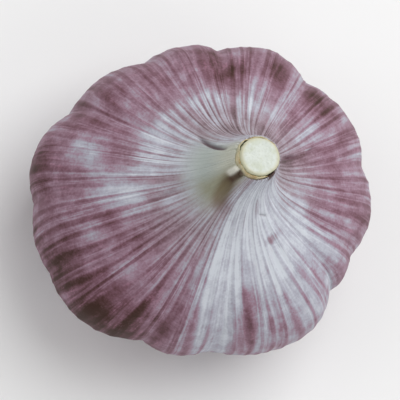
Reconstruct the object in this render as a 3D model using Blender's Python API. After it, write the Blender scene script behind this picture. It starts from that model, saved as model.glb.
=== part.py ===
"""A whole garlic bulb, standing on its trimmed root plate.

The origin is the middle of the root plate's flat underside and +Z runs up towards the cut stalk.
Bearings are measured anticlockwise from +X, seen from above.
"""

import bmesh
import bpy
from math import atan2, cos, pi, radians, sin, sqrt

MM = 0.001

# Overall sizes, in metres
WAIST_RADIUS = 28.7 * MM
STALK_TOP = 54.0 * MM
STALK_RADIUS = 3.2 * MM
SHEATH_TOP = 53.4 * MM
SHEATH_WALL = 0.3 * MM
NECK_TOP = 52.4 * MM
NECK_RADIUS = 4.3 * MM
NECK_GAP = 0.15 * MM
SOCKET_FLOOR = 36.0 * MM
ROOT_PLATE_RADIUS = 8.6 * MM
ROOT_PLATE_FLAT = 7.2 * MM
ROOT_PLATE_HEIGHT = 2.7 * MM
GAP = 0.3 * MM

# The shoulders gather a little to one side of the middle and the neck then leans back across it
SHIFT = 2.2 * MM
SHIFT_BEARING = radians(-97.0)
LEAN = 3.0 * MM
LEAN_BEARING = radians(15.0)
LEAN_START = 24.0 * MM
SHIFT_END = 44.0 * MM

# The skin's side profile from the root recess up to the neck, as radius and height
SKIN_PROFILE = (
    (9.6 * MM, 2.4 * MM),
    (12.4 * MM, 1.1 * MM),
    (17.2 * MM, 1.2 * MM),
    (22.6 * MM, 4.3 * MM),
    (26.8 * MM, 9.8 * MM),
    (28.7 * MM, 16.2 * MM),
    (28.3 * MM, 22.4 * MM),
    (25.6 * MM, 28.4 * MM),
    (21.0 * MM, 33.4 * MM),
    (15.4 * MM, 37.6 * MM),
    (10.3 * MM, 41.2 * MM),
    (6.9 * MM, 44.8 * MM),
    (5.1 * MM, 48.6 * MM),
    (NECK_RADIUS, NECK_TOP),
)

# One row for each clove under the skin: the bearing of its crown, how far the crown reaches from
# the stalk's line, the bearing of the furrow after it, and how deep that furrow is
CLOVES = (
    (353.0, 30.6 * MM, 9.0, 1.1 * MM),
    (21.0, 30.3 * MM, 46.0, 1.7 * MM),
    (60.0, 28.7 * MM, 84.0, 1.2 * MM),
    (94.0, 26.1 * MM, 114.0, 1.6 * MM),
    (137.0, 26.6 * MM, 150.0, 1.2 * MM),
    (172.0, 30.0 * MM, 184.0, 0.9 * MM),
    (196.0, 30.1 * MM, 208.0, 0.8 * MM),
    (224.0, 30.8 * MM, 249.0, 1.3 * MM),
    (260.0, 28.6 * MM, 274.0, 1.6 * MM),
    (308.0, 31.1 * MM, 323.0, 1.5 * MM),
    (329.0, 29.3 * MM, 336.0, 0.8 * MM),
)

# How finely the round shapes are cut
BULB_STEPS = 96
BULB_ROWS = 25
NECK_STEPS = 40
NECK_ROWS = 8


def clear_scene():
    for thing in list(bpy.data.objects):
        bpy.data.objects.remove(thing, do_unlink=True)


def make_material(name, colour, roughness):
    material = bpy.data.materials.new(name)
    material.use_nodes = True
    shader = material.node_tree.nodes["Principled BSDF"]
    shader.inputs["Base Color"].default_value = (*colour, 1.0)
    shader.inputs["Roughness"].default_value = roughness
    shader.inputs["Metallic"].default_value = 0.0
    material.diffuse_color = (*colour, 1.0)
    return material


def ease(value):
    """0 below 0, 1 above 1, and a smooth step between."""
    held = min(max(value, 0.0), 1.0)
    return held * held * (3.0 - 2.0 * held)


def smooth_line(points, count):
    """Spread count points evenly by span along a smooth curve through the given points."""
    first = [2.0 * points[0][i] - points[1][i] for i in range(2)]
    last = [2.0 * points[-1][i] - points[-2][i] for i in range(2)]
    guide = [first, *points, last]
    line = []
    for step in range(count):
        place = step * (len(points) - 1) / (count - 1)
        span = min(int(place), len(points) - 2)
        t = place - span
        a, b, c, d = guide[span:span + 4]
        line.append(tuple(
            0.5 * (2.0 * b[i] + (c[i] - a[i]) * t + (2.0 * a[i] - 5.0 * b[i] + 4.0 * c[i] - d[i]) * t ** 2
                   + (3.0 * b[i] - a[i] - 3.0 * c[i] + d[i]) * t ** 3)
            for i in range(2)))
    return line


def reach_and_furrow(bearing):
    """How far the cloves' crowns reach at this bearing, and how deep the furrow is there."""
    degrees = bearing * 180.0 / pi
    for clove, following in zip(CLOVES, CLOVES[1:] + CLOVES[:1]):
        crown, reach, furrow, depth = clove
        away = (degrees - crown) % 360.0
        whole = (following[0] - crown) % 360.0
        if away <= whole:
            near = (furrow - crown) % 360.0
            share = away / near if away <= near else (whole - away) / (whole - near)
            blend = ease(away / whole)
            return reach + (following[1] - reach) * blend, depth * share ** 2
    return CLOVES[0][1], 0.0


def lean_at(height):
    """How far the stalk's line stands off the upright at this height."""
    shift = SHIFT * ease((height - LEAN_START) / (SHIFT_END - LEAN_START))
    lean = LEAN * max(0.0, (height - LEAN_START) / (STALK_TOP - LEAN_START)) ** 2.5
    return (shift * cos(SHIFT_BEARING) + lean * cos(LEAN_BEARING),
            shift * sin(SHIFT_BEARING) + lean * sin(LEAN_BEARING))


def spin_profile(profile, steps, closed):
    """Turn a profile of radius and height pairs once round the upright axis."""
    mesh = bmesh.new()
    points = [mesh.verts.new((radius, 0.0, height)) for radius, height in profile]
    edges = [mesh.edges.new(pair) for pair in zip(points, points[1:])]
    if closed:
        edges.append(mesh.edges.new((points[-1], points[0])))
    bmesh.ops.spin(mesh, geom=points + edges, cent=(0.0, 0.0, 0.0), axis=(0.0, 0.0, 1.0),
                   angle=2.0 * pi, steps=steps, use_merge=True, use_duplicate=False)
    bmesh.ops.remove_doubles(mesh, verts=mesh.verts, dist=1e-6)
    return mesh


def lean_mesh(mesh):
    for vert in mesh.verts:
        across, along = lean_at(vert.co.z)
        vert.co.x += across
        vert.co.y += along


def finish(mesh, name, material):
    """Turn the mesh into a named object with smooth shading and sharp rims."""
    bmesh.ops.recalc_face_normals(mesh, faces=mesh.faces)
    bmesh.ops.triangulate(mesh, faces=mesh.faces)
    if mesh.calc_volume(signed=True) < 0.0:
        bmesh.ops.reverse_faces(mesh, faces=mesh.faces)
    data = bpy.data.meshes.new(name)
    mesh.to_mesh(data)
    mesh.free()
    data.shade_smooth()
    data.set_sharp_from_angle(angle=radians(40.0))
    data.materials.append(material)
    thing = bpy.data.objects.new(name, data)
    bpy.context.scene.collection.objects.link(thing)
    return thing


def socket_radius():
    return STALK_RADIUS + NECK_GAP + SHEATH_WALL + NECK_GAP


def neck_line(radius, bottom, top):
    """Points up a wall of the neck, close enough together to follow the lean."""
    return [(radius, bottom + (top - bottom) * row / NECK_ROWS) for row in range(NECK_ROWS + 1)]


def shape_cloves(mesh):
    """Swell the turned skin out over the cloves and sink it into the furrows between them."""
    bottom = SKIN_PROFILE[2][1]
    for vert in mesh.verts:
        radius = sqrt(vert.co.x ** 2 + vert.co.y ** 2)
        if radius < ROOT_PLATE_RADIUS + 0.8 * MM and vert.co.z < NECK_TOP - 12.0 * MM:
            continue
        if radius < socket_radius() + 0.1 * MM:
            continue
        bearing = atan2(vert.co.y, vert.co.x)
        reach, furrow = reach_and_furrow(bearing)
        height = vert.co.z
        over_cloves = 1.0 - 0.96 * ease((height - 22.0 * MM) / (24.0 * MM))
        past_root = ease((radius - ROOT_PLATE_RADIUS) / (7.0 * MM))
        under = past_root * ease((11.0 * MM - height) / (11.0 * MM - bottom))
        swell = 1.0 + over_cloves * (reach / WAIST_RADIUS - 1.0)
        new_radius = radius * swell - furrow * over_cloves * past_root * (1.0 - 0.5 * under)
        vert.co.x = new_radius * cos(bearing)
        vert.co.y = new_radius * sin(bearing)
        vert.co.z = height + 0.8 * furrow * under


def make_bulb():
    """The cloves inside their papery skin, with a socket for the stalk and a recess for the roots."""
    recess = ROOT_PLATE_RADIUS + GAP
    roof = ROOT_PLATE_HEIGHT + GAP
    socket = socket_radius()
    profile = [(0.0, roof), (recess * 0.5, roof), (recess, roof)]
    profile += smooth_line(SKIN_PROFILE, BULB_ROWS)
    profile += reversed(neck_line(socket, SOCKET_FLOOR, NECK_TOP))
    profile += [(0.0, SOCKET_FLOOR)]
    mesh = spin_profile(profile, BULB_STEPS, closed=False)
    shape_cloves(mesh)
    lean_mesh(mesh)
    return finish(mesh, "bulb", make_material("bulb_skin", (0.34, 0.24, 0.28), 0.55))


def make_stalk():
    """The flower stalk, cut off square just above the neck."""
    bottom = SOCKET_FLOOR + GAP
    edge = 0.25 * MM
    profile = [(0.0, bottom)]
    profile += neck_line(STALK_RADIUS, bottom, STALK_TOP - edge)
    profile += [(STALK_RADIUS - edge, STALK_TOP), (STALK_RADIUS * 0.5, STALK_TOP), (0.0, STALK_TOP)]
    mesh = spin_profile(profile, NECK_STEPS, closed=False)
    lean_mesh(mesh)
    return finish(mesh, "stalk", make_material("stalk_flesh", (0.72, 0.74, 0.58), 0.65))


def make_sheath():
    """The innermost leaf base, a thin tube between the stalk and the neck of the skin."""
    inner = STALK_RADIUS + NECK_GAP
    outer = inner + SHEATH_WALL
    bottom = SOCKET_FLOOR + GAP
    profile = neck_line(outer, bottom, SHEATH_TOP)
    profile += reversed(neck_line(inner, bottom, SHEATH_TOP))
    mesh = spin_profile(profile, NECK_STEPS, closed=True)
    lean_mesh(mesh)
    return finish(mesh, "neck_sheath", make_material("sheath_fibre", (0.55, 0.46, 0.28), 0.7))


def make_root_plate():
    """The woody plate that the roots grew from, trimmed flat so that the bulb can stand on it."""
    side = 0.9 * MM
    profile = [(0.0, 0.0), (ROOT_PLATE_FLAT * 0.5, 0.0), (ROOT_PLATE_FLAT, 0.0)]
    profile += [(ROOT_PLATE_RADIUS, side), (ROOT_PLATE_RADIUS, ROOT_PLATE_HEIGHT)]
    profile += [(ROOT_PLATE_RADIUS * 0.5, ROOT_PLATE_HEIGHT), (0.0, ROOT_PLATE_HEIGHT)]
    mesh = spin_profile(profile, NECK_STEPS, closed=False)
    return finish(mesh, "root_plate", make_material("root_fibre", (0.40, 0.30, 0.19), 0.85))


def main():
    clear_scene()
    make_bulb()
    make_stalk()
    make_sheath()
    make_root_plate()


main()
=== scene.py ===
from math import atan2, cos, degrees, hypot, pi, radians, sin

import bmesh
import bpy
from mathutils import Matrix, Vector, noise


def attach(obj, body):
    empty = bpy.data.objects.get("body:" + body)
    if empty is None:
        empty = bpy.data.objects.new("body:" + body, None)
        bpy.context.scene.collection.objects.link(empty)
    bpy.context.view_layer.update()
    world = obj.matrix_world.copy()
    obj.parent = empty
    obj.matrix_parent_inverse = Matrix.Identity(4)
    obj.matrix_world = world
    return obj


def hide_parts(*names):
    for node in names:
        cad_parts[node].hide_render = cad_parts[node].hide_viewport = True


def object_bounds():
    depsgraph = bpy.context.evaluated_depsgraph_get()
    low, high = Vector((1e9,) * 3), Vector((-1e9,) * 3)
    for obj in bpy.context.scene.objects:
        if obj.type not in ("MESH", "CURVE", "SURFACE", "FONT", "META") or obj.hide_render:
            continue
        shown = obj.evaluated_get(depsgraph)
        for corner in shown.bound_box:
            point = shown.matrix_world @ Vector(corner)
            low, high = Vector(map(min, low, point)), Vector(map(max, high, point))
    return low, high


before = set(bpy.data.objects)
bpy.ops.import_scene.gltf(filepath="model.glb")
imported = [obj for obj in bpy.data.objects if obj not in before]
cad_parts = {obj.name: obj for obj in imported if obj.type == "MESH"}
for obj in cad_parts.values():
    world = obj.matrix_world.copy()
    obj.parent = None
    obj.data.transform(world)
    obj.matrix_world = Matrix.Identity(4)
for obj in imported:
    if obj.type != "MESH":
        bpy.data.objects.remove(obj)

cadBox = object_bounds()
mm = 0.001    # shapes are made in millimetres, and makePiece scales them to metres
weld = 1e-4   # mm, points closer than this become one
print("frame loaded, nodes:", ", ".join(sorted(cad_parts)))


def ease(value):   # 0 below 0, 1 above 1, and a smooth step between
    held = min(max(value, 0.0), 1.0)
    return held * held * (3.0 - 2.0 * held)


def between(value, low, high):
    return ease((value - low) / (high - low))


def turnGap(bearing, middle):   # signed degrees from middle to bearing, the short way round
    return (bearing - middle + 180.0) % 360.0 - 180.0


def hump(bearing, middle, flat, wide):   # 1 within flat degrees of the middle, 0 beyond wide
    return 1.0 - between(abs(turnGap(bearing, middle)), flat, wide)


def grain(x, y, z, size=1.0):   # smooth noise from about -0.5 to 0.5
    return noise.noise(Vector((x, y, z)) / size)


def ringGrain(angle, often, z):   # noise that closes on itself round the bulb, finer for a larger often
    return grain(cos(angle) * often, sin(angle) * often, z)


def polar(vert):   # angle, distance from the upright axis, and height
    return atan2(vert.co.y, vert.co.x), hypot(vert.co.x, vert.co.y), vert.co.z


def toward(bearing, elevation):   # the unit vector that points that way, from degrees
    turn, rise = radians(bearing), radians(elevation)
    return Vector((cos(turn) * cos(rise), sin(turn) * cos(rise), sin(rise)))


def smoothLine(points, perSpan):   # a smooth curve through the points, perSpan steps to each span
    first = Vector(points[0]) * 2.0 - Vector(points[1])
    last = Vector(points[-1]) * 2.0 - Vector(points[-2])
    guide = [first] + [Vector(point) for point in points] + [last]
    line = []
    for span in range(len(points) - 1):
        a, b, c, d = guide[span:span + 4]
        for step in range(perSpan):
            t = step / perSpan
            line.append(0.5 * (2.0 * b + (c - a) * t + (2.0 * a - 5.0 * b + 4.0 * c - d) * t ** 2
                               + (3.0 * b - a - 3.0 * c + d) * t ** 3))
    return line + [Vector(points[-1])]


def spinLine(mesh, points, steps, closed=False):   # turn a line of points once round the upright axis
    edges = [mesh.edges.new(pair) for pair in zip(points, points[1:])]
    if closed:
        edges.append(mesh.edges.new((points[-1], points[0])))
    bmesh.ops.spin(mesh, geom=points + edges, cent=(0, 0, 0), axis=(0, 0, 1), angle=2.0 * pi,
                   steps=steps, use_merge=True, use_duplicate=False)
    bmesh.ops.remove_doubles(mesh, verts=mesh.verts, dist=weld)


def spinProfile(line, steps, closed=False):   # a mesh from distances off the axis and heights
    mesh = bmesh.new()
    points = [mesh.verts.new((across, 0.0, height)) for across, height in line]
    spinLine(mesh, points, steps, closed)
    return mesh


def makePiece(mesh, name, material, node):
    bmesh.ops.recalc_face_normals(mesh, faces=mesh.faces)
    if mesh.calc_volume(signed=True) < 0.0:
        bmesh.ops.reverse_faces(mesh, faces=mesh.faces)
    bmesh.ops.scale(mesh, vec=(mm, mm, mm), verts=mesh.verts)
    data = bpy.data.meshes.new(name)
    mesh.to_mesh(data)
    mesh.free()
    data.shade_smooth()
    data.set_sharp_from_angle(angle=radians(50.0))
    data.materials.append(material)
    piece = bpy.data.objects.new(name, data)
    bpy.context.scene.collection.objects.link(piece)
    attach(piece, "root")
    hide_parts(node)
    print(name, "has", len(data.polygons), "faces")


class Wire:   # a shader socket that can be written in sums
    def __init__(self, tree, socket=None):
        self.tree = tree
        self.socket = socket

    def add(self, kind, settings=None, inputs=None, output=0):
        node = self.tree.nodes.new("ShaderNode" + kind)
        for name, value in (settings or {}).items():
            if name == "stops":
                fillRamp(node.color_ramp, value)
            else:
                setattr(node, name, value)
        for name, value in (inputs or {}).items():
            socket = node.inputs[name]
            if isinstance(value, Wire):
                self.tree.links.new(value.socket, socket)
            else:
                socket.default_value = value
        return Wire(self.tree, node.outputs[output])

    def math(self, operation, *others):
        values = dict(enumerate((self,) + others))
        return self.add("Math", {"operation": operation}, values)

    def __add__(self, other):
        return self.math("ADD", other)

    __radd__ = __add__

    def __sub__(self, other):
        return self.math("SUBTRACT", other)

    def __rsub__(self, other):
        return self.add("Math", {"operation": "SUBTRACT"}, {0: other, 1: self})

    def __mul__(self, other):
        return self.math("MULTIPLY", other)

    __rmul__ = __mul__

    def step(self, low, high):   # a smooth step from 0 at low to 1 at high
        settings = {"interpolation_type": "SMOOTHSTEP"}
        return self.add("MapRange", settings, {"Value": self, "From Min": low, "From Max": high})

    def tint(self, under, over):   # this mask lays the colour over on the colour under
        return self.add("Mix", {"data_type": "RGBA"}, {0: self, 6: under, 7: over}, 2)

    def ramp(self, stops):
        return self.add("ValToRGB", {"stops": stops}, {0: self})

    def noise(self, scale, detail=2.0, rough=0.5):
        inputs = {"Vector": self, "Scale": scale, "Detail": detail, "Roughness": rough}
        return self.add("TexNoise", None, inputs)

    def swing(self):   # a noise moved to run about 0, mostly from -1 to 1
        return (self - 0.5) * 5.0

    def stretch(self, x, y, z):
        return self.add("VectorMath", {"operation": "MULTIPLY"}, {0: self, 1: (x, y, z)})

    def split(self):   # the three numbers of a vector
        outputs = self.add("SeparateXYZ", None, {0: self}).socket.node.outputs
        return [Wire(self.tree, output) for output in outputs]

    def attribute(self, name, output="Vector"):
        return self.add("Attribute", {"attribute_name": name}, None, output)

    def objectSpot(self):
        return self.add("TexCoord", None, None, "Object")

    def bump(self, height, strength, distance):   # distance in metres
        return self.add("Bump", None, {"Height": height, "Strength": strength, "Distance": distance})


def fillRamp(ramp, stops):
    while len(ramp.elements) < len(stops):
        ramp.elements.new(0.5)
    for element, (place, colour) in zip(ramp.elements, stops):
        element.position = place
        element.color = colour


def startMaterial(name):
    material = bpy.data.materials.new(name)
    material.use_nodes = True
    tree = material.node_tree
    return material, Wire(tree), tree.nodes["Principled BSDF"]


def plug(shader, name, wire):
    wire.tree.links.new(wire.socket, shader.inputs[name])


def rgb(red, green, blue):   # a colour given as it is seen on a screen, 0 to 255
    values = (red / 255.0, green / 255.0, blue / 255.0)
    return tuple(((v + 0.055) / 1.055) ** 2.4 if v > 0.04045 else v / 12.92 for v in values) + (1.0,)


cameraPlan = {
    "bearing": 225.0,      # where the camera stands, seen from above
    "elevation": 73.0,
    "roll": 45.0,
    "distance": 421.0,     # mm
    "lens": 215.0,
    "aimHeight": 0.326,    # share of the bulb's height
}


def addCamera():
    low, high = cadBox
    aim = Vector(((low[0] + high[0]) / 2.0, (low[1] + high[1]) / 2.0, high[2] * cameraPlan["aimHeight"]))
    back = toward(cameraPlan["bearing"], cameraPlan["elevation"])
    data = bpy.data.cameras.new("camera")
    data.lens = cameraPlan["lens"]
    data.sensor_width = 36.0
    data.clip_start = 0.01
    camera = bpy.data.objects.new("camera", data)
    turn = back.to_track_quat("Z", "Y").to_matrix() @ Matrix.Rotation(radians(cameraPlan["roll"]), 3, "Z")
    camera.matrix_world = Matrix.Translation(aim + back * cameraPlan["distance"] * mm) @ turn.to_4x4()
    bpy.context.scene.collection.objects.link(camera)
    bpy.context.scene.camera = camera


# The papery skin over the cloves. A place along the skin is 0 at the roots and 1 at the neck's rim.
skinPlan = {
    "steps": 448,          # divisions round the bulb
    "perSpan": 15,         # rows to each span of the profile
    "waist": 28.7,         # mm, the profile's widest radius
    "profile": [           # mm, radius and height from the roots up to the neck's rim
        (9.6, 2.4), (12.4, 1.1), (17.2, 1.2), (22.6, 4.3), (26.8, 9.8), (28.7, 16.2), (28.3, 22.4),
        (25.6, 28.4), (21.0, 33.4), (15.4, 37.6), (10.3, 41.2), (6.9, 44.8), (5.0, 48.6), (3.78, 52.8)],
    "recessRoof": 3.0,     # mm, of the hollow that holds the root plate
    "recessRadius": 8.9,
    "rimInner": 3.47,
    "cloves": [            # crown bearing, crown reach, bearing of the furrow after it, its depth
        (353, 30.6, 9, 1.1), (21, 30.3, 46, 1.7), (60, 28.7, 84, 1.2), (94, 26.1, 114, 1.6),
        (137, 26.6, 150, 1.2), (172, 30.0, 184, 0.9), (196, 30.1, 208, 0.8), (224, 30.8, 249, 1.3),
        (260, 28.6, 274, 1.6), (308, 31.1, 323, 1.5), (329, 29.3, 336, 0.8)],
    "shoulders": (22.0, 46.0),    # mm, heights between which the cloves' shape fades into the neck
    "rootFlare": (8.6, 15.6),     # mm, radii between which it grows out of the root plate
    "underside": (1.2, 11.0),     # mm, heights between which the underside ends
    "shift": 2.2, "shiftBearing": -97.0, "shiftEnd": 44.0,   # the shoulders gather to one side
    "lean": 3.0, "leanBearing": 15.0, "leanStart": 24.0, "leanTop": 54.0,   # and the neck leans back
    "lumps": 0.35,         # mm, slow unevenness
    "ribs": 72,            # fine ribs round the bulb
    "veins": 0.15,         # mm, how far they stand out
    "pleats": 0.45,        # mm, folds gathered round the neck
    "frayEnd": 0.05,       # place along where the frayed edge round the roots ends
    "frayOut": 0.9, "frayDown": 0.8,   # mm
    "cutStart": 0.94,      # place along from which the cut end goes up and down
    "creases": [           # bearing at its foot and head, from, to along the skin, half-width and depth in mm
        (-115, -148, 0.85, 1.0, 2.3, 0.85),
        (131, 153, 0.83, 0.99, 0.6, 0.65),
        (17, 20, 0.76, 0.85, 0.5, 0.48),
        (22, 17, 0.69, 0.755, 0.5, 0.4),
        (-108, -106, 0.42, 0.83, 1.0, 0.22),
        (-62, -48, 0.865, 0.835, 0.5, 0.35),
        (-160, -164, 0.72, 0.86, 0.6, 0.26)],
    "tornEdge": 0.733,     # where the outer skin ends along the far side
    "tornStep": 0.14,      # mm
}

# Colour patches on the skin: bearing, place along, half-width in degrees, half-height, tone added
skinPatches = [
    (-64, 0.70, 38, 0.32, 0.24),     # the broad pale fan
    (-91, 0.66, 9, 0.40, 0.18),
    (-33, 0.70, 8, 0.22, 0.14),
    (-58, 0.74, 10, 0.12, 0.08),
    (-50, 0.94, 52, 0.08, 0.10),
    (-84, 0.85, 12, 0.04, -0.12),
    (-77, 0.49, 4, 0.17, -0.26),     # mauve streaks that run up into the fan
    (-67, 0.48, 4, 0.12, -0.12),
    (-136, 0.42, 30, 0.16, -0.28),   # plum shoulders of the near cloves
    (-117, 0.47, 8, 0.16, -0.18),
    (-133, 0.74, 24, 0.14, -0.14),
    (-174, 0.68, 10, 0.10, 0.18),
    (-171, 0.80, 14, 0.05, -0.15),
    (168, 0.61, 8, 0.06, 0.30),      # bare pale spots on the left
    (142, 0.66, 7, 0.05, 0.12),
    (3, 0.74, 10, 0.11, -0.12),      # plum, mauve and pale streaks on the right
    (20, 0.81, 22, 0.10, -0.15),
    (15, 0.81, 4, 0.05, -0.20),
    (48, 0.66, 5, 0.11, 0.15),
    (42, 0.72, 9, 0.06, -0.18),
    (44, 0.82, 14, 0.06, -0.15),
    (36, 0.60, 9, 0.06, -0.24),
    (86, 0.65, 13, 0.08, -0.20),     # dark shoulders and neck on the far side
    (66, 0.62, 9, 0.05, -0.10),
    (96, 0.84, 52, 0.08, -0.20),
    (92, 0.91, 26, 0.06, -0.24),
    (-112, 0.88, 9, 0.05, -0.16),    # small marks
    (-64, 0.89, 5, 0.03, -0.25),
    (-55, 0.78, 6, 0.012, -0.30),
    (-157, 0.66, 8, 0.025, -0.12),
    (30, 0.30, 15, 0.14, -0.14),     # round the sides and below
    (152, 0.28, 17, 0.12, 0.16),
    (-62, 0.24, 16, 0.10, 0.12),
    (78, 0.36, 7, 0.12, 0.15),
    (-150, 0.24, 13, 0.09, 0.16),
    (112, 0.22, 13, 0.08, -0.12),
    (-20, 0.30, 9, 0.14, 0.10),
    (178, 0.42, 14, 0.10, -0.20),
]


def reachAndFurrow(bearing):   # mm, how far the cloves reach out at this bearing and the furrow's depth
    cloves = skinPlan["cloves"]
    for clove, following in zip(cloves, cloves[1:] + cloves[:1]):
        crown, reach, furrow, depth = clove
        away = (bearing - crown) % 360.0
        whole = (following[0] - crown) % 360.0
        if away <= whole:
            near = (furrow - crown) % 360.0
            share = away / near if away <= near else (whole - away) / (whole - near)
            return reach + (following[1] - reach) * ease(away / whole), depth * share ** 2
    return cloves[0][1], 0.0


def leanAt(height):   # mm, how far the middle of the bulb stands off the upright axis
    start, top, end = skinPlan["leanStart"], skinPlan["leanTop"], skinPlan["shiftEnd"]
    shift = skinPlan["shift"] * between(height, start, end)
    lean = skinPlan["lean"] * max(0.0, (height - start) / (top - start)) ** 2.5
    one, two = radians(skinPlan["shiftBearing"]), radians(skinPlan["leanBearing"])
    return Vector((shift * cos(one) + lean * cos(two), shift * sin(one) + lean * sin(two), 0.0))


def patchSum(bearing, along):
    total = 0.0
    for middle, place, wide, high, strength in skinPatches:
        away = hypot(turnGap(bearing, middle) / wide, (along - place) / high)
        total += strength * (1.0 - between(away, 0.30, 1.45))
    return total


def creaseDepth(bearing, place, radius):
    total = 0.0
    for foot, head, low, high, width, depth in skinPlan["creases"]:
        share = (place - low) / (high - low)
        if 0.0 < share < 1.0:
            off = radians(turnGap(bearing, foot + (head - foot) * share)) * radius / width
            ends = between(share, 0.0, 0.35) * (1.0 - between(share, 0.55, 1.0))
            total += depth * ends * max(0.0, 1.0 - off * off) ** 2
    return total


def tornHeight(angle):   # place along at which the torn outer layer ends
    return skinPlan["tornEdge"] + 0.035 * ringGrain(angle, 5.0, 3.0) + 0.014 * ringGrain(angle, 24.0, 7.0)


def tornFade(place):   # the step at the torn edge fades out above and below
    return between(place, 0.60, 0.70) * (1.0 - between(place, 0.80, 0.88))


def fibreDrift(angle, place):   # radians by which the fibres stray from the upright
    return 0.10 * ringGrain(angle, 1.3, place * 1.5) + 0.055 * ringGrain(angle, 9.0, place * 1.6)


def bareAt(bearing, place):   # the bare leaf base that shows on the near side of the neck
    return hump(bearing, -172.0, 34.0, 66.0) * between(place, 0.82, 0.90)


def looseSide(bearing):   # mm that skin and sheath stand away from the stalk on its loose side
    return 0.28 * hump(bearing, 143.0, 5.0, 28.0)


def unevenness(angle, twist, radius, height, place, overCloves):   # mm, slow lumps and fine veins
    lumps = skinPlan["lumps"] * overCloves * grain(cos(angle) * radius, sin(angle) * radius, height, 9.0)
    rib = max(0.0, sin(skinPlan["ribs"] * twist)) ** 2
    veins = ringGrain(twist, 19.0, place * 3.0) + 0.5 * rib
    return lumps + skinPlan["veins"] * veins * min(1.0, radius / 16.0)


def neckPleats(bearing, twist, place):   # mm, the skin gathered round the neck, and its flared rim
    folds = ringGrain(twist, 4.2, place * 2.2 + 9.0) + 0.5 * ringGrain(twist, 8.5, place * 3.0)
    gather = between(place, 0.70, 0.93) * (1.0 - 0.7 * bareAt(bearing, place))
    flare = looseSide(bearing) + 0.55 * hump(bearing, -151.0, 3.0, 15.0)
    pleats = skinPlan["pleats"] * folds * gather * (1.0 - 0.8 * between(place, 0.90, 1.0))
    return pleats + flare * between(place, 0.94, 1.0) * (1.0 - between(place, 1.1, 1.3))


def rootFrays(twist, place):   # papery tatters at the skin's lower edge
    frayed = abs(ringGrain(twist, 14.0, 1.0)) + 0.6 * abs(ringGrain(twist, 31.0, 6.0))
    return frayed * max(0.0, 1.0 - place / skinPlan["frayEnd"])


def cutRise(bearing, angle, twist, place):   # mm, the cut end of the neck isn't level
    tilt = 0.6 * cos(angle - 0.5) - 0.8 * hump(bearing, -137.0, 2.0, 10.0)
    frayed = 0.25 * ringGrain(twist, 2.0, 4.0) + 0.3 * ringGrain(twist, 9.0, 2.0)
    return (tilt + frayed) * between(place, skinPlan["cutStart"], 1.0)


def neckMarks(bearing, place):   # bare leaf, olive stain and pale flake
    olive = hump(bearing, -138.0, 12.0, 36.0) * between(place, 0.84, 0.90)
    flake = hump(bearing, -152.0, 4.0, 13.0) * between(place, 0.955, 0.98)
    return bareAt(bearing, place), olive, flake


def gapShadeAt(bearing, place):   # painted shade, dark brown, in the slit at the stalk's rim and in the hollow under the flake
    slit = hump(bearing, -50.0, 9.0, 14.0) * between(place, 0.98, 0.995)
    hollow = hump(bearing, -138.0, 3.0, 13.0) * between(place, 0.935, 0.965)
    return max(slit, hollow)


def shapeSkin(mesh, along, outR, outZ):
    paint = mesh.verts.layers.float_vector.new("paint")
    fibre = mesh.verts.layers.float_vector.new("fibre")
    neck = mesh.verts.layers.float_vector.new("neck")
    rust = mesh.verts.layers.float.new("rust")
    for vert in mesh.verts:
        angle, radius, height = polar(vert)
        place = vert[along]
        if place < 0.0:   # the recess for the roots and the floor of the neck keep their shape
            vert.co += leanAt(height)
            continue
        bearing = degrees(angle)
        reach, furrow = reachAndFurrow(bearing)
        overCloves = 1.0 - 0.96 * between(height, *skinPlan["shoulders"])
        pastRoot = between(radius, *skinPlan["rootFlare"])
        under = pastRoot * (1.0 - between(height, *skinPlan["underside"]))
        twist = angle + fibreDrift(angle, place)
        crease = creaseDepth(bearing, place, radius)
        ply = (tornHeight(angle) - place) * 60.0   # over 1 on the outer layer, under -1 on the bared one
        torn = hump(bearing, 128.0, 42.0, 70.0)    # the torn edge shows round the far side only

        out = unevenness(angle, twist, radius, height, place, overCloves)
        out += neckPleats(bearing, twist, place)
        out -= crease * (1.0 - between(place, 1.0, 1.05))
        out += skinPlan["tornStep"] * torn * (between(ply, -0.35, 0.35) - 0.5) * tornFade(place)
        frays = rootFrays(twist, place)
        sunk = furrow * overCloves * pastRoot * (1.0 - 0.5 * under)
        swell = 1.0 + overCloves * (reach / skinPlan["waist"] - 1.0)
        wide = radius * swell - sunk + out * vert[outR] + skinPlan["frayOut"] * frays
        high = height + 0.8 * furrow * under + out * vert[outZ] - skinPlan["frayDown"] * frays
        high += cutRise(bearing, angle, twist, place)
        vert.co = Vector((wide * cos(angle), wide * sin(angle), high)) + leanAt(height)

        valley = 0.14 * furrow * (1.0 - between(place, 0.40, 0.60))   # the skin is paler between two cloves
        torn *= between(place, 0.35, 0.52)
        layer = torn * between(ply, -1.0, 1.0) + (1.0 - torn) * 0.5
        vert[paint] = (patchSum(bearing, place) + valley, layer, crease)
        vert[fibre] = (cos(twist), sin(twist), place)
        vert[neck] = neckMarks(bearing, place)
        vert[rust] = gapShadeAt(bearing, place)


def skinLine():   # distance, height and place along; a place of -1 keeps the turned shape
    profile = smoothLine(skinPlan["profile"], skinPlan["perSpan"])
    lengths = [0.0]
    for a, b in zip(profile, profile[1:]):
        lengths.append(lengths[-1] + (b - a).length)
    roof, recess, rim = skinPlan["recessRoof"], skinPlan["recessRadius"], skinPlan["rimInner"]
    start = [(0.0, roof, -1.0), (recess * 0.5, roof, -1.0), (recess, roof, -1.0)]
    outer = [(point.x, point.y, length / lengths[-1]) for point, length in zip(profile, lengths)]
    top = profile[-1].y
    neckRim = [(3.72, top + 0.08, 1.01), (3.58, top + 0.08, 1.03), (rim, top - 0.08, 1.05),
               (rim - 0.02, top - 1.5, 1.15), (rim - 0.02, top - 5.0, 1.3), (0.0, top - 5.0, -1.0)]
    return start + outer + neckRim


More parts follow.
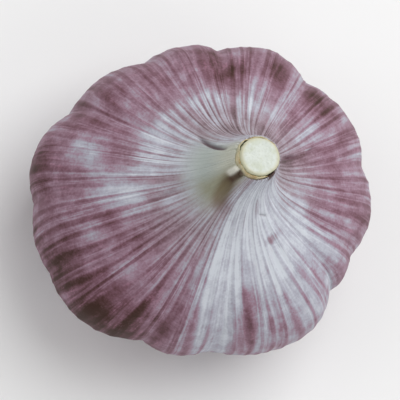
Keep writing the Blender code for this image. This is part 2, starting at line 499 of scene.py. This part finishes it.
def makeSkin():
    line = skinLine()
    mesh = bmesh.new()
    along = mesh.verts.layers.float.new("along")
    outR = mesh.verts.layers.float.new("outR")   # the outward way, sideways and up
    outZ = mesh.verts.layers.float.new("outZ")
    points = []
    for index, (radius, height, place) in enumerate(line):
        before, after = line[max(index - 1, 0)], line[min(index + 1, len(line) - 1)]
        slope = Vector((after[1] - before[1], before[0] - after[0])).normalized()
        point = mesh.verts.new((radius, 0.0, height))
        point[along], point[outR], point[outZ] = place, slope.x, slope.y
        points.append(point)
    spinLine(mesh, points, skinPlan["steps"])
    shapeSkin(mesh, along, outR, outZ)
    makePiece(mesh, "garlicSkin", skinMaterial(), "bulb")


def skinMaterial():
    material, wire, shader = startMaterial("garlicSkin")
    fibre = wire.attribute("fibre")
    east, north, place = fibre.split()
    patch, layer, crease = wire.attribute("paint").split()
    bare, olive, flake = wire.attribute("neck").split()
    rust = wire.attribute("rust", "Fac")
    spot = wire.objectSpot()

    # Noises drawn out along the fibres, from broad to fine, and two that are the same every way
    wide = fibre.stretch(8, 8, 2.2).noise(1.0).swing()
    middle = fibre.stretch(20, 20, 3.6).noise(1.0).swing()
    fine = fibre.stretch(44, 44, 6.0).noise(1.0).swing()
    fleck = fibre.stretch(70, 70, 22.0).noise(1.0).swing()
    cross = fibre.stretch(11, 11, 26.0).noise(1.0).swing()
    cloud = spot.noise(170.0, 3.0).swing()
    mottle = spot.noise(2300.0, 2.0, 0.6).swing()

    turn = north.math("ARCTAN2", east)
    rib = (turn * skinPlan["ribs"]).math("SINE").step(0.0, 1.0)
    rib = rib * (0.6 + wide * 0.35 + fine * 0.3 + fleck * 0.2).math("MAXIMUM", 0.0)
    hair = (turn * (skinPlan["ribs"] * 2 + 19)).math("SINE").step(0.2, 1.0)
    hair = hair * (0.3 + middle * 0.5 + fine * 0.3).math("MAXIMUM", 0.0)
    streaks = wide * 0.10 + middle * 0.10 + fine * 0.08 - rib * 0.25 - hair * 0.11

    tone = 0.52 + patch + place.step(0.55, 0.84) * 0.20 + (0.5 - layer) * 0.22
    tone = tone + streaks * (1.0 - bare * 0.8) * (1.4 - layer * 0.8)
    tone = tone + cloud * 0.10 + mottle * 0.06 + fleck * 0.06 + cross * 0.08
    pink = (cloud * 0.4 + mottle * 0.3 + fleck * 0.6).step(0.2, 1.4)
    colour = plumColour(tone, pink, place)
    colour = (bare * 0.85).tint(colour, leafColour(place + middle * 0.01, olive, flake))
    tan = 1.0 - (place + middle * 0.03).step(0.04, 0.20)   # towards the roots
    colour = (tan * 0.75).tint(colour, rgb(186, 164, 132))
    # Each crease is darkened with its depth, plum in general and brown to olive in the pleat: partly the
    # folds' own dried colour, partly painted shade.
    shade = olive.tint(rgb(100, 68, 76), creaseShadeBrown(place))
    colour = ((crease + fine * 0.04).step(0.0, 0.75) * 0.85).tint(colour, shade)
    # painted shade: the slit and the hollow are laid over in dark brown
    plug(shader, "Base Color", (rust * 0.85).tint(colour, rgb(68, 40, 26)))
    plug(shader, "Roughness", 0.55 + mottle * 0.05 - tone * 0.06)
    relief = middle * 0.4 + fine * 0.4 + rib * 0.6 + mottle * 0.12 + fleck * 0.2 + cross * 0.2
    plug(shader, "Normal", wire.bump(relief, 0.25, 0.0001))
    shader.inputs["Specular IOR Level"].default_value = 0.16
    return material


def plumColour(tone, pink, place):   # dark plum at a low tone, mauve, then papery white at a high one
    colour = tone.ramp([(0.0, rgb(60, 30, 18)), (0.10, rgb(76, 44, 42)), (0.20, rgb(98, 60, 68)),
                        (0.36, rgb(128, 88, 104)), (0.54, rgb(156, 124, 142)), (0.74, rgb(172, 172, 186)),
                        (1.0, rgb(206, 211, 219))])
    pink = pink * (1.0 - tone.step(0.6, 0.9) * 0.7) * 0.4
    colour = pink.tint(colour, rgb(182, 120, 146))
    vivid = 0.92 - place.step(0.66, 0.88) * (1.0 - tone.step(0.6, 0.8)) * 0.42   # duller near the neck
    return tone.add("HueSaturation", None, {"Saturation": vivid, "Color": colour})


def leafColour(place, olive, flake):
    colour = place.step(0.90, 0.99).tint(rgb(172, 181, 174), rgb(194, 196, 178))
    colour = (olive * 0.8).tint(colour, rgb(138, 136, 100))
    return flake.tint(colour, rgb(222, 222, 208))


# painted shade for the pleat, dark brown at the neck fading to olive below, with the fold's own brown
def creaseShadeBrown(place):
    return place.ramp([(0.88, rgb(130, 116, 98)), (0.92, rgb(116, 102, 74)), (0.97, rgb(86, 64, 42))])


stalkPlan = {
    "radius": 3.2,
    "steps": 160,
    "face": 54.0,          # mm, height of the cut
    "foot": 48.2,
    "edge": 0.3,           # mm, how far the cut's rim is rounded
}


def makeStalk():
    radius, face, foot, edge = (stalkPlan[key] for key in ("radius", "face", "foot", "edge"))
    line = [(0.0, foot), (radius, foot)]
    line += [(radius, foot + (face - edge - foot) * step / 30.0) for step in range(1, 31)]
    line += [(radius - edge * (1.0 - cos(turn)), face - edge * (1.0 - sin(turn)))
             for turn in (radians(30), radians(60), radians(90))]
    line += [((radius - edge) * (1.0 - step / 20.0), face) for step in range(1, 21)]
    mesh = spinProfile(line, stalkPlan["steps"])
    for vert in mesh.verts:
        angle, across, height = polar(vert)
        oval = 1.0 + 0.025 * cos(2.0 * angle + 0.6) + 0.012 * cos(3.0 * angle)
        ribs = 0.05 * ringGrain(angle, 9.0, height / 8.0)
        out = across * oval + ribs * across / radius
        vert.co = Vector((out * cos(angle), out * sin(angle), height))
        if height > face - edge:   # the knife left the cut slightly uneven
            vert.co.z += 0.10 * grain(vert.co.x, vert.co.y, 2.0, 1.6)
            vert.co.z += 0.05 * grain(vert.co.x, vert.co.y, 8.0, 0.5)
        vert.co += leanAt(height)
    makePiece(mesh, "cutStalk", stalkMaterial(), "stalk")


def stalkMaterial():
    material, wire, shader = startMaterial("cutStalk")
    spot = wire.objectSpot()
    face = stalkPlan["face"] * mm
    onFace = spot.split()[2].step(face - 0.00045, face - 0.0001)
    pores = spot.stretch(1, 1, 0.1).noise(2600.0)
    cloud = spot.noise(500.0)
    ribs = spot.stretch(1, 1, 0.06).noise(1800.0)
    centre = leanAt(stalkPlan["face"]) * mm
    centre.z = face
    away = wire.add("VectorMath", {"operation": "DISTANCE"}, {0: spot, 1: centre}, "Value")
    cut = ((pores - 0.5).step(0.0, 0.25) * 0.6).tint(rgb(208, 214, 206), rgb(188, 194, 178))
    cut = ((cloud - 0.5).step(-0.05, 0.2) * 0.7).tint(cut, rgb(194, 200, 180))
    cut = (away.step(0.0024, 0.0032) * 0.7).tint(cut, rgb(192, 186, 148))
    side = (ribs - 0.5).step(-0.1, 0.25).tint(rgb(206, 208, 176), rgb(160, 160, 122))
    plug(shader, "Base Color", onFace.tint(side, cut))
    plug(shader, "Roughness", 0.5 + (cloud - 0.5) * 0.3)
    plug(shader, "Normal", wire.bump(pores + ribs * (1.0 - onFace), 0.4, 0.00015))
    return material


# The thin leaf base between the stalk and the skin
sheathPlan = {
    "inner": 3.26,
    "wall": 0.15,
    "top": 53.5,
    "foot": 48.2,
    "steps": 200,
    "rows": 26,
    "dip": 0.9,            # mm, how far the torn side sinks
    "dipBearing": -50.0,
    "ragged": 0.25,        # mm
}


def makeSheath():
    inner, wall, top, foot = (sheathPlan[key] for key in ("inner", "wall", "top", "foot"))
    rows = sheathPlan["rows"]
    heights = [foot + (top - foot) * row / rows for row in range(rows + 1)]
    line = [(inner + wall, height) for height in heights]
    line += [(inner + wall * 0.5, top + wall * 0.25)]
    line += [(inner, height) for height in reversed(heights)]
    mesh = spinProfile(line, sheathPlan["steps"], closed=True)
    rust = mesh.verts.layers.float.new("rust")
    for vert in mesh.verts:
        angle, across, height = polar(vert)
        bearing = degrees(angle)
        share = between(height, foot, top)
        dip = sheathPlan["dip"] * hump(bearing, sheathPlan["dipBearing"], 8.0, 30.0)
        ragged = sheathPlan["ragged"] * (ringGrain(angle, 3.0, 5.0) + ringGrain(angle, 12.0, 1.0))
        out = across + share * looseSide(bearing) + 0.04 * ringGrain(angle, 7.0, height / 6.0)
        high = height + share * (ragged - dip)
        vert.co = Vector((out * cos(angle), out * sin(angle), high)) + leanAt(height)
        # painted shade, dark brown, on the sheath deep in the hollow under the flake and along the torn slit
        hollow = hump(bearing, -137.0, 3.0, 15.0) * (1.0 - between(height, 52.4, 53.2))
        vert[rust] = max(hollow, hump(bearing, sheathPlan["dipBearing"], 9.0, 15.0))
    makePiece(mesh, "neckSheath", sheathMaterial(), "neck_sheath")


def sheathMaterial():
    material, wire, shader = startMaterial("neckSheath")
    spot = wire.objectSpot()
    ribs = spot.stretch(1, 1, 0.08).noise(1500.0, 3.0)
    cloud = spot.noise(420.0)
    colour = (ribs - 0.5).step(-0.15, 0.2).tint(rgb(214, 202, 162), rgb(176, 150, 100))
    colour = (cloud - 0.5).step(-0.05, 0.2).tint(colour, rgb(190, 186, 156))
    # painted shade in the hollow and the slit, dark brown
    colour = (wire.attribute("rust", "Fac") * 0.9).tint(colour, rgb(78, 46, 28))
    plug(shader, "Base Color", colour)
    plug(shader, "Roughness", 0.55 + (cloud - 0.5) * 0.3)
    plug(shader, "Normal", wire.bump(ribs, 0.4, 0.0002))
    return material


# The woody root plate and the stubs of its roots
rootPlan = {
    "radius": 8.6,
    "steps": 96,
    "bottom": 1.3,         # mm, height of the plate's own underside
    "top": 3.0,
    "lowest": 0.6,         # mm, the plate keeps clear of the floor
    "rings": [(0.0, 1), (1.5, 6), (2.9, 11), (4.3, 17), (5.7, 22), (7.0, 27)],   # ring radius and its roots
    "rootRadius": 0.42,
}


def makeRootPlate():
    radius, bottom, top = rootPlan["radius"], rootPlan["bottom"], rootPlan["top"]
    line = [(0.0, bottom), (radius * 0.35, bottom), (radius * 0.7, bottom), (radius - 0.7, bottom + 0.1),
            (radius - 0.2, bottom + 0.4), (radius, top - 0.7), (radius - 0.1, top),
            (radius * 0.5, top), (0.0, top)]
    mesh = spinProfile(line, rootPlan["steps"])
    bmesh.ops.subdivide_edges(mesh, edges=mesh.edges, cuts=1, use_grid_fill=True)
    for vert in mesh.verts:
        away = hypot(vert.co.x, vert.co.y) / radius
        if vert.co.z < top - 0.3:
            vert.co.z += 0.5 * grain(vert.co.x, vert.co.y, 0.0, 2.0) * between(away, 0.0, 0.2)
            vert.co.z = max(vert.co.z, rootPlan["lowest"])
    makePiece(mesh, "rootPlate", rootMaterial(), "root_plate")


def makeRoots():
    mesh = bmesh.new()
    start = rootPlan["bottom"] + 0.5
    for ringIndex, (away, count) in enumerate(rootPlan["rings"]):
        for index in range(count):
            seed = ringIndex * 31.0 + index * 1.7
            angle = 2.0 * pi * (index + 0.35 * grain(seed, 0.3, 0.1)) / count + ringIndex
            spread = away + 0.5 * grain(0.4, seed, 0.2)
            thick = rootPlan["rootRadius"] * (1.0 + 0.5 * grain(0.7, 0.2, seed))
            tip = 0.03 + 0.5 * abs(grain(seed, 5.5, 0.9)) * (away < 6.5)   # the outer ring all reach down
            addRoot(mesh, angle, spread, thick, start, tip)
    makePiece(mesh, "trimmedRoots", rootMaterial(), "root_plate")


def addRoot(mesh, angle, spread, thick, start, tip):
    cone = bmesh.ops.create_cone(mesh, cap_ends=True, segments=7, radius1=thick * 0.8, radius2=thick,
                                 depth=start - tip)
    splay = 0.5 * spread / rootPlan["radius"]
    for vert in cone["verts"]:
        drop = start - (vert.co.z + (start + tip) / 2.0)
        vert.co = Vector((vert.co.x + spread + splay * drop, vert.co.y, start - drop))
    bmesh.ops.rotate(mesh, verts=cone["verts"], cent=(0, 0, 0), matrix=Matrix.Rotation(angle, 3, "Z"))


def rootMaterial():
    if "rootFibre" in bpy.data.materials:   # the plate and the roots share it
        return bpy.data.materials["rootFibre"]
    material, wire, shader = startMaterial("rootFibre")
    spot = wire.objectSpot()
    strands = spot.stretch(1, 1, 0.2).noise(1300.0, 3.0, 0.6)
    cloud = spot.noise(300.0)
    colour = (strands - 0.5).step(-0.2, 0.2).tint(rgb(196, 172, 132), rgb(122, 96, 66))
    colour = (cloud - 0.5).step(0.0, 0.25).tint(colour, rgb(88, 66, 46))
    plug(shader, "Base Color", colour)
    plug(shader, "Roughness", 0.8 + (cloud - 0.5) * 0.2)
    plug(shader, "Normal", wire.bump(strands, 0.6, 0.0003))
    return material


stagePlan = {
    "floorRadius": 3.0,    # m
    "world": 0.42,
    "lamps": [             # bearing, elevation, distance in m, size in m, watts
        (40.0, 60.0, 0.9, 0.8, 6.0),
        (170.0, 40.0, 1.2, 0.9, 2.0),
        (300.0, 35.0, 1.2, 0.9, 2.0)],
}


def addFloor():
    mesh = bmesh.new()
    bmesh.ops.create_circle(mesh, cap_ends=True, segments=96, radius=stagePlan["floorRadius"])
    data = bpy.data.meshes.new("floor")
    mesh.to_mesh(data)
    mesh.free()
    material, wire, shader = startMaterial("paleFloor")
    shader.inputs["Base Color"].default_value = (0.86, 0.86, 0.86, 1.0)
    shader.inputs["Roughness"].default_value = 0.9
    data.materials.append(material)
    floor = bpy.data.objects.new("floor", data)
    bpy.context.scene.collection.objects.link(floor)


def addLights():
    world = bpy.data.worlds.new("studio")
    world.use_nodes = True
    sky = world.node_tree.nodes["Background"]
    sky.inputs["Color"].default_value = (1.0, 1.0, 1.0, 1.0)
    sky.inputs["Strength"].default_value = stagePlan["world"]
    bpy.context.scene.world = world
    aim = Vector((0.0, 0.0, cadBox[1][2] * 0.5))
    for index, (bearing, rise, away, size, watts) in enumerate(stagePlan["lamps"]):
        data = bpy.data.lights.new("softLamp%d" % index, "AREA")
        data.size = size
        data.energy = watts
        lamp = bpy.data.objects.new(data.name, data)
        toLamp = toward(bearing, rise)
        lamp.location = aim + toLamp * away
        lamp.rotation_euler = toLamp.to_track_quat("Z", "Y").to_euler()
        bpy.context.scene.collection.objects.link(lamp)
    bpy.context.scene.view_settings.view_transform = "Standard"


addCamera()
addFloor()
addLights()
print("stage set")
makeSkin()
makeStalk()
makeSheath()
makeRootPlate()
makeRoots()
